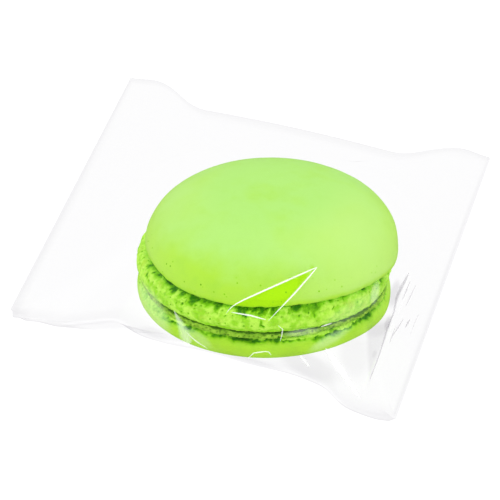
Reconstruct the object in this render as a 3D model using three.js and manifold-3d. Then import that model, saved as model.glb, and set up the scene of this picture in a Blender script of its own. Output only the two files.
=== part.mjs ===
// A lime green french macaron sealed in a clear pillow bag.
//
// The bag is a flat tube of film, closed by a straight seal at its left and right ends.
// The macaron lies near the right seal and against the near fold of the tube, so the film
// stands up around it like a low tent and the seals hover a little above the table.
//
// Lengths are millimetres and angles are degrees. +X runs from the left seal to the right
// one, +Y from the near fold to the far one, +Z up. The origin is on the table, under the
// middle of the bag.

import * as THREE from 'three';
import { mergeVertices } from 'three/addons/utils/BufferGeometryUtils.js';
import Module from 'manifold-3d';

// ---- the bag's outline: four corners, and how each fold runs between two of them ----
const CORNERS = {
  nearLeft: new THREE.Vector3(-34.6, -37.7, 8.2),
  nearRight: new THREE.Vector3(37.6, -39.7, 1.0),
  farRight: new THREE.Vector3(38.4, 40.9, 4.2),
  farLeft: new THREE.Vector3(-38.4, 41.5, 9.7),
};
// Bulge is how far a fold's middle lies outside the straight line, reached at share fade of
// its length from either end. Lift is how far the middle rises, and ear is the swelling
// beside each seal.
const NEAR_FOLD = { bulge: 2.0, fade: 0.48, lift: 4.8, ear: 2.5 }; // pushed out by the macaron
const FAR_FOLD = { bulge: -7.4, fade: 0.25, lift: 1.8, ear: 1.0 }; // the tent uses up its film
const EAR_SHARE = 0.22; // share of a fold's length that one ear takes
const FADE_START = 0.05; // share beside each seal where the bulge has no effect yet
const FOLD_STEPS = 30;
const SEAL_STEPS = 18;

// ---- the film ----
const EDGE_THICK = 0.6; // both layers, at the seals and folds
const SEAL_BAND = 2.0; // flat strip inside the outline
const STANDOFF = { radius: 1.75, height: 0.85 }; // outer face of the bag over the dome
const TENT_SAG = 0.03; // dip of the free film, as a share of its length
const REST_RADIUS = 14; // flat spot that the bag lies on
const BELLY_CURVE = 1.7; // how late the underside rises towards the edge
const TURN_STEP = 0.5; // fineness of the search for where the film leaves the dome
const DOME_ROWS = 6;
const TENT_ROWS = 4;
const BELLY_ROWS = 4;

// ---- the macaron's place in the bag ----
const MACARON_X = 6.8;
const MACARON_Y = -15.6;
const MACARON_Z = 1.6; // foot of its axis; its lowest point is 0.8 above the table
const LEAN = 5.5; // its near side is up, on bunched film
const LEAN_AXIS = 16; // heading of the line that it leans about

// ---- the macaron, by height along its own axis ----
// A dome's fullness is the exponent of its profile: 2 is an ellipse, and more is fuller.
const LOWER_DOME = { radius: 23.5, height: 5.7, fullness: 2.7 };
const LOWER_TOP = 6.85;
const FILLING = { low: 7.15, high: 8.25, radius: 22.6 };
const UPPER_LOW = 8.55;
const FOOT = { radius: 23.6, tuck: 0.7, low: 9.0, high: 12.2 }; // tuck draws in both ends
const LOWER_FOOT = { radius: 22.9, height: 6.55 };
const CREVICE = { radius: 21.7, low: 12.5, high: 12.65 }; // dark line under the skirt
const SKIRT = { overhang: 0.75, thick: 0.5 }; // edge of the upper dome that hangs over the foot
const RIM_HEIGHT = 13.4;
const UPPER_DOME = { radius: 23.15, height: 11.8, fullness: 2.3 };
const DOME_SHIFT = 1.0; // the upper dome sits this far to the right of its foot
const TENT_SHIFT = DOME_SHIFT / 2; // the film's dome covers both
const FOOT_RELIEF = 0.45; // ruffles of the upper foot, in and out
const EDGE_RELIEF = 0.22; // roughness of the filling and of the shells' edges
const EDGE_ROUND = 0.3;
const RIM_WAVE = 0.25; // the skirt's edge wanders up and down
const RUFFLE_WIDTH = 2.3;
const RUFFLE_HEIGHT = 1.5;
const SEGMENTS = 96;
const FOOT_ROWS = 4;
const DOME_TURNS = [0, 6, 14, 24, 35, 47, 60, 75]; // closer together at the rim
const FACE_RADIUS = 12; // ring that splits the flat hidden faces

// ---- the hollow round the macaron ----
const GAP = 0.38;
const HOLLOW_SEGMENTS = 48;
const VENT_RADIUS = 2; // opening under the macaron, so that the hollow is not sealed
const VENT_SEGMENTS = 16;

const wasm = await Module();
wasm.setup();

// Smooth step from 0 at a to 1 at b.
function ramp(a, b, x) {
  return THREE.MathUtils.smoothstep(x, a, b);
}

// Repeatable number between 0 and 1 for a cell of the ruffle grid.
function cellValue(column, row) {
  const mixed = Math.sin(column * 127.1 + row * 311.7) * 43758.5453;
  return mixed - Math.floor(mixed);
}

// Soft bumps between -1 and 1 over a band of the side, closed round the turn.
function ruffle(angle, height) {
  const columns = Math.round((2 * Math.PI * FOOT.radius) / RUFFLE_WIDTH);
  const across = (angle / (2 * Math.PI)) * columns;
  const up = height / RUFFLE_HEIGHT;
  const column = Math.floor(across);
  const row = Math.floor(up);
  const right = ramp(0, 1, across - column);
  const above = ramp(0, 1, up - row);
  const value = (i, j) => cellValue((column + i + columns) % columns, row + j);
  const low = THREE.MathUtils.lerp(value(0, 0), value(1, 0), right);
  const high = THREE.MathUtils.lerp(value(0, 1), value(1, 1), right);
  return 2 * THREE.MathUtils.lerp(low, high, above) - 1;
}

// Body between a lowest point and a highest point, with a closed ring at each level.
// Every ring has the same number of points and runs anticlockwise seen from above.
function closedBody(lowPole, rings, highPole) {
  const count = rings[0].length;
  const points = [lowPole, ...rings.flat(), highPole];
  const last = points.length - 1;
  const faces = [];
  for (let i = 0; i < count; i += 1) {
    const next = (i + 1) % count;
    faces.push(0, 1 + next, 1 + i);
    for (let k = 0; k < rings.length - 1; k += 1) {
      const here = 1 + k * count;
      const above = here + count;
      faces.push(here + i, here + next, above + next);
      faces.push(here + i, above + next, above + i);
    }
    faces.push(last, last - count + i, last - count + next);
  }
  const geometry = new THREE.BufferGeometry().setFromPoints(points);
  geometry.setIndex(faces);
  return geometry;
}

function solidOf(geometry) {
  const vertProperties = Float32Array.from(geometry.attributes.position.array);
  const triVerts = Uint32Array.from(geometry.index.array);
  return new wasm.Manifold(new wasm.Mesh({ numProp: 3, vertProperties, triVerts }));
}

function geometryOf(solid) {
  const mesh = solid.getMesh();
  const geometry = new THREE.BufferGeometry();
  geometry.setAttribute('position', new THREE.BufferAttribute(mesh.vertProperties, 3));
  geometry.setIndex(new THREE.BufferAttribute(mesh.triVerts, 1));
  return geometry;
}

// Copy of a library shape with its shared corners joined, as a solid needs.
function welded(geometry) {
  geometry.deleteAttribute('normal');
  geometry.deleteAttribute('uv');
  return mergeVertices(geometry);
}

// A named sub-part: its shape and its own material.
function piece(name, geometry, look) {
  geometry.computeVertexNormals();
  const mesh = new THREE.Mesh(geometry, new THREE.MeshStandardMaterial(look));
  mesh.name = name;
  return mesh;
}

// ---- the macaron ----

// One level of the macaron's side: relief and wave give the size of its unevenness.
function level(radius, height, shift = 0, relief = 0, wave = 0) {
  return { radius, height, shift, relief, wave };
}

// Levels of a dome from its rim (0 degrees) towards its pole, up (1) or down (-1).
function domeLevels(dome, rimHeight, upwards, shift) {
  const power = 2 / dome.fullness;
  return DOME_TURNS.map((turn) => {
    const angle = THREE.MathUtils.degToRad(turn);
    const radius = dome.radius * Math.cos(angle) ** power;
    const rise = dome.height * Math.sin(angle) ** power;
    return level(radius, rimHeight + upwards * rise, shift);
  });
}

// Slow wander between about -1 and 1 round the turn.
function wander(angle) {
  return (Math.sin(2 * angle + 1) + Math.sin(5 * angle + 4) + Math.sin(9 * angle + 2)) / 3;
}

function ringAt(at, segments) {
  const ring = [];
  for (let i = 0; i < segments; i += 1) {
    const angle = (2 * Math.PI * i) / segments;
    const radius = at.radius + at.relief * ruffle(angle, at.height);
    const height = at.height + at.wave * wander(angle);
    const x = at.shift + radius * Math.cos(angle);
    ring.push(new THREE.Vector3(x, radius * Math.sin(angle), height));
  }
  return ring;
}

// Round body from its levels, closed at both ends on its axis.
function roundBody(low, levels, high, segments) {
  const rings = levels.map((at) => ringAt(at, segments));
  const lowPole = new THREE.Vector3(low.shift, 0, low.height);
  const highPole = new THREE.Vector3(high.shift, 0, high.height);
  return closedBody(lowPole, rings, highPole);
}

// Levels of the upper foot. It bulges in the middle, grows rougher upwards, and leans a
// little way after the dome that has slipped to the right.
function footLevels() {
  const levels = [];
  for (let row = 0; row <= FOOT_ROWS; row += 1) {
    const up = row / FOOT_ROWS;
    const radius = FOOT.radius - FOOT.tuck * (2 * up - 1) ** 2;
    const height = THREE.MathUtils.lerp(FOOT.low, FOOT.high, up);
    const relief = THREE.MathUtils.lerp(EDGE_RELIEF, FOOT_RELIEF, Math.sqrt(up));
    levels.push(level(radius, height, (up ** 3 * DOME_SHIFT) / 3, relief));
  }
  return levels;
}

// Upper shell: a smooth dome whose skirt hangs over a ruffled foot.
function upperShell() {
  const skirtRadius = UPPER_DOME.radius - EDGE_ROUND;
  const levels = [
    level(FACE_RADIUS, UPPER_LOW),
    level(FILLING.radius - EDGE_ROUND, UPPER_LOW, 0, EDGE_RELIEF),
    ...footLevels(),
    level(CREVICE.radius, CREVICE.low, DOME_SHIFT / 2, EDGE_RELIEF),
    level(skirtRadius - SKIRT.overhang, CREVICE.high, DOME_SHIFT, 0, RIM_WAVE / 2),
    level(skirtRadius, RIM_HEIGHT - SKIRT.thick, DOME_SHIFT, 0, RIM_WAVE),
    ...domeLevels(UPPER_DOME, RIM_HEIGHT, 1, DOME_SHIFT),
  ];
  const top = level(0, RIM_HEIGHT + UPPER_DOME.height, DOME_SHIFT);
  return roundBody(level(0, UPPER_LOW), levels, top, SEGMENTS);
}

// Filling: a thin even disc that runs right through, its edge a little rough.
function filling() {
  const { low, high, radius } = FILLING;
  const levels = [
    level(FACE_RADIUS, low),
    level(radius - EDGE_ROUND, low, 0, EDGE_RELIEF),
    level(radius, low + EDGE_ROUND, 0, EDGE_RELIEF),
    level(radius, high - EDGE_ROUND, 0, EDGE_RELIEF),
    level(radius - EDGE_ROUND, high, 0, EDGE_RELIEF),
    level(FACE_RADIUS, high),
  ];
  return roundBody(level(0, low), levels, level(0, high), SEGMENTS);
}

// Lower shell: a shallower dome, upside down, with a low rough foot at its edge.
function lowerShell() {
  const belly = LOWER_DOME.height;
  const levels = [
    ...domeLevels(LOWER_DOME, belly, -1, 0).reverse(),
    level(LOWER_DOME.radius - EDGE_ROUND / 2, belly + EDGE_ROUND, 0, EDGE_RELIEF),
    level(LOWER_FOOT.radius, LOWER_FOOT.height, 0, FOOT_RELIEF),
    level(FILLING.radius - EDGE_ROUND, LOWER_TOP, 0, EDGE_RELIEF),
    level(FACE_RADIUS, LOWER_TOP),
  ];
  return roundBody(level(0, 0), levels, level(0, LOWER_TOP), SEGMENTS);
}

// The macaron's plain outer form, grown by the gap that its hollow keeps to it.
function hollowBody() {
  const grown = (dome) => ({
    radius: dome.radius + GAP,
    height: dome.height + GAP,
    fullness: dome.fullness,
  });
  const waist = FOOT.radius + FOOT_RELIEF + GAP;
  const levels = [
    ...domeLevels(grown(LOWER_DOME), LOWER_DOME.height, -1, 0).reverse(),
    level(waist, LOWER_TOP),
    level(waist, FOOT.high),
    ...domeLevels(grown(UPPER_DOME), RIM_HEIGHT, 1, DOME_SHIFT),
  ];
  const top = level(0, RIM_HEIGHT + UPPER_DOME.height + GAP, DOME_SHIFT);
  return roundBody(level(0, -GAP), levels, top, HOLLOW_SEGMENTS);
}

// ---- the bag ----

// Point at share s of a fold: the straight line between two corners, moved outwards and up.
// The middle moves by the fold's bulge and each end swells into a rounded ear.
function foldPoint(start, end, fold, outwards, s) {
  const middle = ramp(FADE_START, fold.fade, s) * ramp(FADE_START, fold.fade, 1 - s);
  const fromEnd = Math.min(s, 1 - s, EAR_SHARE);
  const ear = Math.sin((Math.PI * fromEnd) / EAR_SHARE) ** 2;
  const point = new THREE.Vector3().lerpVectors(start, end, s);
  point.y += outwards * (fold.bulge * middle + fold.ear * ear);
  point.z += fold.lift * Math.sin(Math.PI * s);
  return point;
}

// Points of one side of the outline, without its end: pointAt gives the point at a share.
function sidePoints(steps, pointAt) {
  return Array.from({ length: steps }, (_, i) => pointAt(i / steps));
}

// The bag's outline, anticlockwise from the near left corner.
function bagOutline() {
  const { nearLeft, nearRight, farRight, farLeft } = CORNERS;
  const straight = (start, end) => (s) => new THREE.Vector3().lerpVectors(start, end, s);
  return [
    ...sidePoints(FOLD_STEPS, (s) => foldPoint(nearLeft, nearRight, NEAR_FOLD, -1, s)),
    ...sidePoints(SEAL_STEPS, straight(nearRight, farRight)),
    ...sidePoints(FOLD_STEPS, (s) => foldPoint(farRight, farLeft, FAR_FOLD, 1, s)),
    ...sidePoints(SEAL_STEPS, straight(farLeft, nearLeft)),
  ];
}

// Point of the film over the dome, in the macaron's frame: turn is 90 at the top.
function onDome(heading, turn) {
  const power = 2 / UPPER_DOME.fullness;
  const angle = THREE.MathUtils.degToRad(turn);
  const radius = (UPPER_DOME.radius + STANDOFF.radius) * Math.cos(angle) ** power;
  const rise = (UPPER_DOME.height + STANDOFF.height) * Math.sin(angle) ** power;
  return new THREE.Vector3(
    TENT_SHIFT + radius * Math.cos(heading),
    radius * Math.sin(heading),
    RIM_HEIGHT + rise,
  );
}

// Turn at which taut film from an edge point leaves the dome: the point of the dome that
// stands highest as seen from the edge.
function leavingTurn(edge, heading) {
  let best = 0;
  let steepest = -Infinity;
  for (let turn = 0; turn < 90; turn += TURN_STEP) {
    const point = onDome(heading, turn);
    const across = Math.hypot(edge.x - point.x, edge.y - point.y);
    const slope = (point.z - edge.z) / across;
    if (slope > steepest) {
      steepest = slope;
      best = turn;
    }
  }
  return best;
}

// One strip of the upper film, from the outline in to the top of the dome.
function upperStrip(outlinePoint, place) {
  const edge = outlinePoint.clone();
  edge.z += EDGE_THICK / 2;
  const from = edge.clone().applyMatrix4(place.clone().invert());
  const heading = Math.atan2(from.y, from.x - TENT_SHIFT);
  const leaving = leavingTurn(from, heading);
  const shoulder = onDome(heading, leaving).applyMatrix4(place);
  const length = shoulder.distanceTo(edge);
  const band = SEAL_BAND / length;
  const strip = [edge];
  for (let i = 0; i < TENT_ROWS; i += 1) {
    const share = THREE.MathUtils.lerp(band, 1, i / TENT_ROWS);
    const point = new THREE.Vector3().lerpVectors(edge, shoulder, share);
    point.z -= TENT_SAG * length * Math.sin(Math.PI * share) ** 2;
    strip.push(point);
  }
  for (let i = 0; i < DOME_ROWS; i += 1) {
    const turn = THREE.MathUtils.lerp(leaving, 90, i / DOME_ROWS);
    strip.push(onDome(heading, turn).applyMatrix4(place));
  }
  return strip;
}

// One strip of the lower film, from the flat spot out to the outline.
function lowerStrip(outlinePoint, restCentre) {
  const edge = outlinePoint.clone();
  edge.z -= EDGE_THICK / 2;
  const away = new THREE.Vector3(edge.x - restCentre.x, edge.y - restCentre.y, 0);
  const start = restCentre.clone().addScaledVector(away.normalize(), REST_RADIUS);
  const strip = [];
  for (let i = 0; i <= BELLY_ROWS; i += 1) {
    const share = i / BELLY_ROWS;
    const point = new THREE.Vector3().lerpVectors(start, edge, share);
    point.z = edge.z * share ** BELLY_CURVE;
    strip.push(point);
  }
  return strip;
}

// Turns strips that run side by side into the rings that cross them.
function ringsAcross(strips) {
  return strips[0].map((_, row) => strips.map((strip) => strip[row]));
}

// Upright plug under the macaron, through the bag's lowest wall.
function ventBody() {
  const length = 2 * MACARON_Z;
  const plug = new THREE.CylinderGeometry(VENT_RADIUS, VENT_RADIUS, length, VENT_SEGMENTS);
  return welded(plug.rotateX(Math.PI / 2).translate(MACARON_X, MACARON_Y, 0));
}

// The filled bag: film over the macaron, down to the seals and folds, and back under it,
// with the macaron's hollow inside and the vent below it.
function bag(place) {
  const outline = bagOutline();
  const restCentre = new THREE.Vector3(MACARON_X, MACARON_Y, 0);
  const lower = ringsAcross(outline.map((point) => lowerStrip(point, restCentre)));
  const upper = ringsAcross(outline.map((point) => upperStrip(point, place)));
  const top = onDome(0, 90).applyMatrix4(place);
  const full = solidOf(closedBody(restCentre, [...lower, ...upper], top));
  const hollow = solidOf(hollowBody().applyMatrix4(place));
  return geometryOf(full.subtract(hollow).subtract(solidOf(ventBody())));
}

// ---- the object ----

const macaron = new THREE.Group();
macaron.position.set(MACARON_X, MACARON_Y, MACARON_Z);
macaron.rotation.order = 'ZYX';
macaron.rotation.z = THREE.MathUtils.degToRad(LEAN_AXIS);
macaron.rotation.x = -THREE.MathUtils.degToRad(LEAN);
macaron.updateMatrix();

const SHELL_LOOK = { color: 0xb0e63c, roughness: 0.6, metalness: 0 };
const FILLING_LOOK = { color: 0x9ccb2f, roughness: 0.7, metalness: 0 };
const FILM_LOOK = {
  color: 0xf2f5f1,
  roughness: 0.15,
  metalness: 0,
  transparent: true,
  opacity: 0.3,
};

macaron.add(piece('shell_bottom', lowerShell(), SHELL_LOOK));
macaron.add(piece('filling', filling(), FILLING_LOOK));
macaron.add(piece('shell_top', upperShell(), SHELL_LOOK));

const packedMacaron = new THREE.Group();
packedMacaron.add(macaron);
packedMacaron.add(piece('bag', bag(macaron.matrix), FILM_LOOK));

export default packedMacaron;
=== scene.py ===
# %% [markdown]
# # A macaron in a clear pillow bag
#
# The object is a lime green french macaron, sealed in a bag of thin clear film. Two almond
# meringue shells with rough feet hold a thin filling. The bag is a flat tube of film, closed by
# a straight seal at each end, so it stands round the macaron like a low tent.
#
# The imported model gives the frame: four solids at their real size and place. Each one could get
# a material and stay as it is, but its faces are half a centimetre long, and the bag is a thick
# solid there. So each is replaced by a fine surface that follows the same formulas.

import bpy
import numpy as np
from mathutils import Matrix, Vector


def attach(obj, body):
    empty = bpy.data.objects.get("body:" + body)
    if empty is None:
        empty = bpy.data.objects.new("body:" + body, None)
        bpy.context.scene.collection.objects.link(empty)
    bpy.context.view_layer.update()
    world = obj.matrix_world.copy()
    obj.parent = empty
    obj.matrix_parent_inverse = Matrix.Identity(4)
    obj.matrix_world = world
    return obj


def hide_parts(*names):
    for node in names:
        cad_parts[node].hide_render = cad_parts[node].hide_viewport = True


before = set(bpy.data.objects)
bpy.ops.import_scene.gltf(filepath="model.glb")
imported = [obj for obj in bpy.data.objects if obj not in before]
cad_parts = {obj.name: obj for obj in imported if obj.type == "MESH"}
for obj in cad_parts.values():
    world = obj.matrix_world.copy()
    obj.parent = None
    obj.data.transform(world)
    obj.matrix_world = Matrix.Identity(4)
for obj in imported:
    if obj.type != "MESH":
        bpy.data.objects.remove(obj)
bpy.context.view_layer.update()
MM = 0.001
print("nodes:", sorted(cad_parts))

# %% [markdown]
# ## Surfaces from arrays
#
# Every piece here is a closed surface: rings of points stacked from a lowest point to a highest
# one. A lathe or a modifier could turn a profile, but an array holds relief that differs all the
# way round. The shapes are worked out in millimetres and become metres in the mesh.

# %% A closed mesh from rings
def ring_faces(rings, low_pole, high_pole):
    """Points and faces of a closed surface from rings of points (ring, point, xyz), each running
    anticlockwise seen from the last one's side. Four-sided faces join each ring to the next, and
    fans of triangles join the first and the last ring to their poles."""
    levels, count = rings.shape[:2]
    points = np.concatenate([[low_pole], rings.reshape(-1, 3), [high_pole]]) * MM
    turn = np.arange(count)
    ahead = (turn + 1) % count
    base = 1 + np.arange(levels - 1)[:, None] * count
    sides = [base + turn, base + ahead, base + count + ahead, base + count + turn]
    last = len(points) - 1
    low_fan = np.stack([0 * turn, 1 + ahead, 1 + turn], axis=-1)
    high_fan = np.stack([0 * turn + last, last - count + turn, last - count + ahead], axis=-1)
    return points, np.stack(sides, axis=-1).reshape(-1, 4), np.concatenate([low_fan, high_fan])


def piece_from(name, surfaces):
    """One object from one or more closed surfaces, with smooth shading."""
    starts = np.cumsum([0] + [len(surface[0]) for surface in surfaces])
    points = np.concatenate([surface[0] for surface in surfaces])
    quads, triangles = [
        np.concatenate([surface[kind] + start for surface, start in zip(surfaces, starts)])
        for kind in (1, 2)
    ]
    corners = np.concatenate([quads.ravel(), triangles.ravel()])
    firsts = np.concatenate([4 * np.arange(len(quads)), quads.size + 3 * np.arange(len(triangles))])
    mesh = bpy.data.meshes.new(name)
    mesh.vertices.add(len(points))
    mesh.vertices.foreach_set("co", points.ravel())
    mesh.loops.add(len(corners))
    mesh.loops.foreach_set("vertex_index", corners)
    mesh.polygons.add(len(firsts))
    mesh.polygons.foreach_set("loop_start", firsts)
    mesh.polygons.foreach_set("use_smooth", np.ones(len(firsts), bool))
    mesh.update(calc_edges=True)
    mesh.validate()
    piece = bpy.data.objects.new(name, mesh)
    bpy.context.scene.collection.objects.link(piece)
    print(f"{name}: {len(points)} points, {2 * len(quads) + len(triangles)} triangles")
    return piece


def xyz(x, y, z):
    """Points from their three coordinates, each spread over the whole grid first."""
    return np.stack(np.broadcast_arrays(x, y, z), axis=-1)


def store(piece, name, column):
    """Stores one number for each point of a piece as an attribute."""
    attribute = piece.data.attributes.new(name, "FLOAT", "POINT")
    attribute.data.foreach_set("value", column.astype(np.float32))


def mark(piece, name, values, low_value=0.0, high_value=0.0):
    """Stores the numbers of a stack of rings, and one for each pole. Numbers that are the same
    all round each ring may come as a single column."""
    around = (len(piece.data.vertices) - 2) // len(values)
    grid = np.broadcast_to(values, (len(values), around))
    store(piece, name, np.concatenate([[low_value], grid.ravel(), [high_value]]))


# %% Steps, blends and repeatable bumps
def ramp(low, high, x):
    """Smooth step: 0 up to low, 1 from high, and 3t squared less 2t cubed at a share t between."""
    share = np.clip((x - low) / (high - low), 0.0, 1.0)
    return share * share * (3.0 - 2.0 * share)


def blend(first, second, share):
    """Straight mix of two values."""
    return first + (second - first) * share


def cell_value(column, row):
    """Repeatable number between 0 and 1 for a cell: the fraction of a large sine."""
    mixed = np.sin(column * 127.1 + row * 311.7) * 43758.5453
    return mixed - np.floor(mixed)


RING_POINTS = 850
AROUND = np.linspace(0, 2 * np.pi, RING_POINTS, endpoint=False)[None, :]  # angles in every ring
SIDE_RADIUS = 23.6  # bumps are measured along the macaron's side, which is about this far out
LAYER_STEP = 100  # rows between the cells of one set of bumps and those of the next
GRAIN_MEAN = 0.65


def grid_place(height, width, tall, layer):
    """Column and row, with fractions, of each angle and height, and the columns in a turn."""
    columns = round(2 * np.pi * SIDE_RADIUS / width)
    return (AROUND / (2 * np.pi)) % 1.0 * columns, height / tall + LAYER_STEP * layer, columns


def bumps(height, width, tall, layer=0):
    """Soft bumps between -1 and 1, closed round the turn: a repeatable value at each corner of
    a grid of cells, joined by smooth steps across and up."""
    across, up, columns = grid_place(height, width, tall, layer)
    column, row = np.floor(across), np.floor(up)
    right = ramp(0, 1, across - column)
    low, high = [
        blend(cell_value(column, line), cell_value((column + 1) % columns, line), right)
        for line in (row, row + 1)
    ]
    return 2 * blend(low, high, ramp(0, 1, up - row)) - 1


def near_cells(height, size, layer):
    """For each of the nine cells round a place: its column, its row, and the squared distance,
    in cells, to the point scattered in it."""
    across, up, columns = grid_place(height, size, size, layer)
    for i in (-1, 0, 1):
        for j in (-1, 0, 1):
            column = (np.floor(across) + i) % columns
            row = np.floor(up) + j
            aside = np.floor(across) + i + 0.2 + 0.6 * cell_value(column, row + 0.31) - across
            above = row + 0.2 + 0.6 * cell_value(column, row + 0.53) - up
            yield column, row, aside**2 + above**2


def pits(height, spacing, radius, chance, layer):
    """Round holes, from 0 at the rim to 1 at the centre. A share of the cells holds one, with
    depth (1 - d squared) squared where d is the distance as a share of its radius."""
    deepest = 0 * AROUND * height
    for column, row, squared in near_cells(height, spacing, layer):
        size = radius * (0.5 + 0.5 * cell_value(column, row + 0.71))
        there = cell_value(column, row + 0.97) < chance
        deepest = np.maximum(deepest, there * np.clip(1 - squared * (spacing / size) ** 2, 0, 1) ** 2)
    return deepest


def grains(height, size, layer):
    """Rounded lumps packed like foam: 1 less twice the squared distance to the nearest scattered
    point, so that it is 1 on a lump and about 0 where lumps meet."""
    return 1 - 2 * np.minimum.reduce([cell[2] for cell in near_cells(height, size, layer)])


def layered(height, layers):
    """Sum of bumps. Each layer gives its depth, its width and height, and its number."""
    return sum(depth * bumps(height, *layer) for depth, *layer in layers)


def foam(height, layers):
    """Sum of grains less their mean. Each layer gives its depth, its size and its number."""
    return sum(depth * (grains(height, *layer) - GRAIN_MEAN) for depth, *layer in layers)


print("lowest bump:", bumps(0, 2.3, 1.5).min().round(2))


# %% Bells, and rows placed where the relief is fine
def aside(middle):
    """Degrees round the turn from a middle angle, between -180 and 180."""
    return (np.degrees(AROUND) - middle + 180) % 360 - 180


def bell(middle, half_width):
    """Bell curve round the turn: 1 at the middle angle, falling with the square of the distance
    in half widths. Both are in degrees."""
    return np.exp(-((aside(middle) / half_width) ** 2))


def sum_of_bells(bells):
    """Sum of bell curves, each a middle, a half width and a height."""
    return sum(rise * bell(middle, half_width) for middle, half_width, rise in bells)


def way_along(radius, height, fineness=1.0):
    """Distance along a profile to each of its rows, so that bumps keep their size on ledges."""
    return np.concatenate([[0], np.cumsum(np.hypot(np.diff(radius), np.diff(height)) * fineness)])


def place_rows(radius, height, fineness, rows):
    """The same profile with new rows, closer together where the fineness given for each old point
    is high, so that small relief gets most of them."""
    travelled = way_along(radius, height, (fineness[1:] + fineness[:-1]) / 2)
    wanted = np.linspace(0, travelled[-1], rows)
    return np.interp(wanted, travelled, radius), np.interp(wanted, travelled, height)


# %% [markdown]
# ## The camera
#
# The camera comes first, because the film's creases are placed as they are seen: in millimetres
# to the right of and above the middle of the view. A long lens from a forearm away looks down
# on the bag, a little from its right.

# %% The camera
AZIMUTH = np.radians(16.1)  # from the near side round to the right
ELEVATION = np.radians(36)
AIM = Vector((0.00263, -0.0105, 0.010))
DISTANCE = 0.410
LENS = 158.4
SENSOR_WIDTH = 36
NEAR_CLIP = 0.01


def towards_camera():
    """Unit vector from the object to the camera, by the rule for azimuth and elevation."""
    flat = np.cos(ELEVATION)
    return Vector((flat * np.sin(AZIMUTH), -flat * np.cos(AZIMUTH), np.sin(ELEVATION)))


def studio_camera():
    """Camera on the line of sight, turned so that it looks back along it and stays level."""
    data = bpy.data.cameras.new("camera")
    data.lens = LENS
    data.sensor_width = SENSOR_WIDTH
    data.clip_start = NEAR_CLIP
    camera = bpy.data.objects.new("camera", data)
    bpy.context.scene.collection.objects.link(camera)
    camera.location = AIM + DISTANCE * towards_camera()
    camera.rotation_euler = towards_camera().to_track_quat("Z", "Y").to_euler()
    bpy.context.scene.camera = camera
    return camera


camera = studio_camera()
AWAY = np.array(towards_camera())
RIGHT, ABOVE = (np.array(camera.matrix_basis.col[axis][:3]) for axis in (0, 1))
EYE = np.array(camera.location) / MM
print("camera at", EYE.round(1), "mm")

# %% Places as the camera sees them
def seen(points):
    """Millimetres right and up of the middle of the view, measured at the aim point's distance.
    Each point is divided by its own distance along the line of sight, as in a picture."""
    ray = points - EYE
    scale = DISTANCE / MM / -(ray @ AWAY)
    return ray @ RIGHT * scale, ray @ ABOVE * scale


def near_line(points, line):
    """Distance in the view from each point to a bent line, and the share of the way along it."""
    spot = np.stack(seen(points), axis=-1)
    corners = np.array(line, float)
    lengths = np.linalg.norm(np.diff(corners, axis=0), axis=1)
    begins = np.concatenate([[0], np.cumsum(lengths)])
    nearest = np.full(spot.shape[:-1], np.inf)
    along = np.zeros(nearest.shape)
    for start, end, length, begin in zip(corners, corners[1:], lengths, begins):
        share = np.clip((spot - start) @ (end - start) / length**2, 0, 1)
        distance = np.linalg.norm(spot - blend(start, end, share[..., None]), axis=-1)
        along = np.where(distance < nearest, (begin + share * length) / begins[-1], along)
        nearest = np.minimum(distance, nearest)
    return nearest, along


def inside(points, triangle):
    """How far inside a triangle of the view each point is: its smallest share of the three
    corners, which is negative outside."""
    a, b, c = np.array(triangle, float)
    spot = np.stack(seen(points), axis=-1) - a
    shares = spot @ np.linalg.inv(np.stack([b - a, c - a]))
    return np.minimum(shares.min(axis=-1), 1 - shares.sum(axis=-1))


print("aim seen at:", [round(float(v), 3) for v in seen(np.array(AIM) / MM)])

# The film lies tight on the crust in one triangle of the view, and oil from the almonds wets the
# crust there, so it is darker and stronger in colour, and holds none of the dome's painted sheen.
WET_TRIANGLE = [(-3.7, -10.4), (12.4, -3.2), (3.4, -13.2)]

# %% [markdown]
# ## Where the macaron lies
#
# The macaron leans on bunched film with its near side up. Its shapes are worked out upright, on
# its own axis, and one rotation and one step put them in place. The object itself stays at the
# origin, unturned, so that its patterns stay put too.

# %% The macaron's place
MACARON = np.array([6.8, -15.6, 1.6])
LEAN = np.radians(5.5)
LEAN_AXIS = np.radians(16)


def turn_about(axis, angle):
    """Rotation matrix about x (0) or z (2)."""
    c, s = np.cos(angle), np.sin(angle)
    turn = np.eye(3)
    first, second = [k for k in range(3) if k != axis]
    turn[first, first] = turn[second, second] = c
    turn[first, second], turn[second, first] = -s, s
    return turn


TURN = turn_about(2, LEAN_AXIS) @ turn_about(0, -LEAN)


def put_in_place(points):
    """From the macaron's own frame to the table's: turned, then moved."""
    return np.asarray(points, float) @ TURN.T + MACARON


def back_to_macaron(points):
    """From the table's frame to the macaron's own."""
    return (np.asarray(points, float) - MACARON) @ TURN


SLUMP = {"angle": -10, "half_width": 32, "depth": 1.5}


def slump(height):
    """How far the soft bake has sagged at its right: a bell round the turn, in full at the
    filling and fading out towards both domes."""
    between = ramp(0.5, 4.5, height) * (1 - ramp(9.0, 12.5, height))
    return SLUMP["depth"] * bell(SLUMP["angle"], SLUMP["half_width"]) * between


def macaron_piece(name, radius, height, low, high, shift=0.0):
    """A piece with its rings: radius and height for each angle, stepped to the right by the
    shift, and a pole at the low and at the high height on the axis."""
    rings = put_in_place(xyz(shift + radius * np.cos(AROUND), radius * np.sin(AROUND), height))
    poles = put_in_place([0, 0, low]), put_in_place([np.max(shift), 0, high])
    return piece_from(name, [ring_faces(rings, *poles)]), rings


print("macaron's axis:", TURN[:, 2].round(3))

# %% [markdown]
# ## The upper shell
#
# Macaron batter grows a skin before it is baked. The skin lifts as a smooth dome, and the batter
# that boils out under its edge sets as the frothy foot. Between the two runs a dark crevice,
# deep in some places and shut in others. The profile is one line from the hidden flat face up to
# the pole, so the whole shell is one surface of two parameters: angle and step along the profile.

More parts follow.
